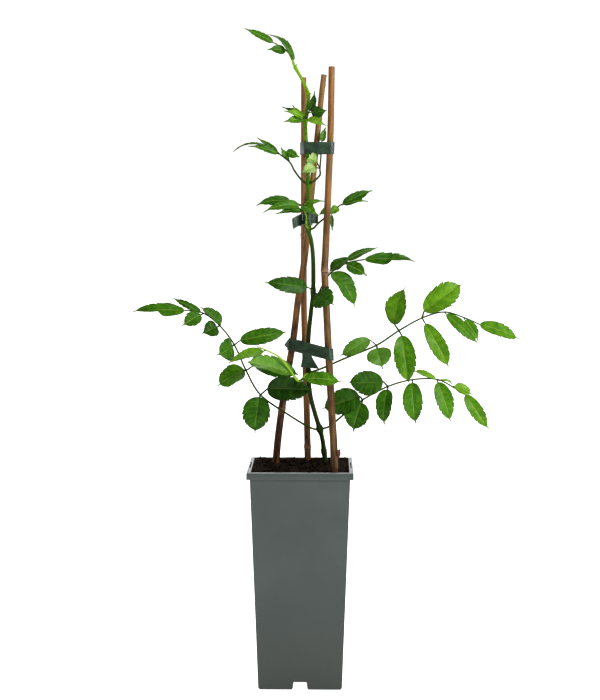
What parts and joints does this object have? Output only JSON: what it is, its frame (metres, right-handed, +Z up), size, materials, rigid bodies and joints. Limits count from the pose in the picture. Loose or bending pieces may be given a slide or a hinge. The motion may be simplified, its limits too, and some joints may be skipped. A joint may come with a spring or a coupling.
{
  "type": "potted trumpet vine",
  "caption": "Young climbing trumpet vine with toothed pinnate leaves, tied to bamboo canes in a deep square nursery pot.",
  "frame": {"origin": "centre of the pot's underside, on the surface that it stands on", "axes": "+Z up along the pot and the canes; -Y towards the viewer; +X to the viewer's right"},
  "size_m": [0.4103, 0.113, 0.6856],
  "materials": {
    "pot": "satin",
    "soil": "matte",
    "cane": "satin",
    "tape": "satin",
    "stem": "satin",
    "leaf": "satin",
    "young_leaf": "satin"
  },
  "bodies": {
    "root": {"pot": "pot", "soil": "soil", "cane_left": "cane", "cane_rear": "cane", "cane_right": "cane", "tie_top": "tape", "tie_middle": "tape", "tie_lower": "tape", "main_stem": "stem", "leaf_1_left": "leaf", "leaf_1_right": "leaf", "leaf_2_right": "leaf", "leaf_2_left": "young_leaf", "leaf_3_left": "leaf", "leaf_3_right": "leaf", "leaf_4_left": "leaf", "leaf_4_right": "leaf", "leaf_5_left": "leaf", "leaf_5_right": "young_leaf", "leaf_6_left": "young_leaf", "leaf_6_right": "leaf", "leaf_top": "leaf"}
  },
  "joints": []
}
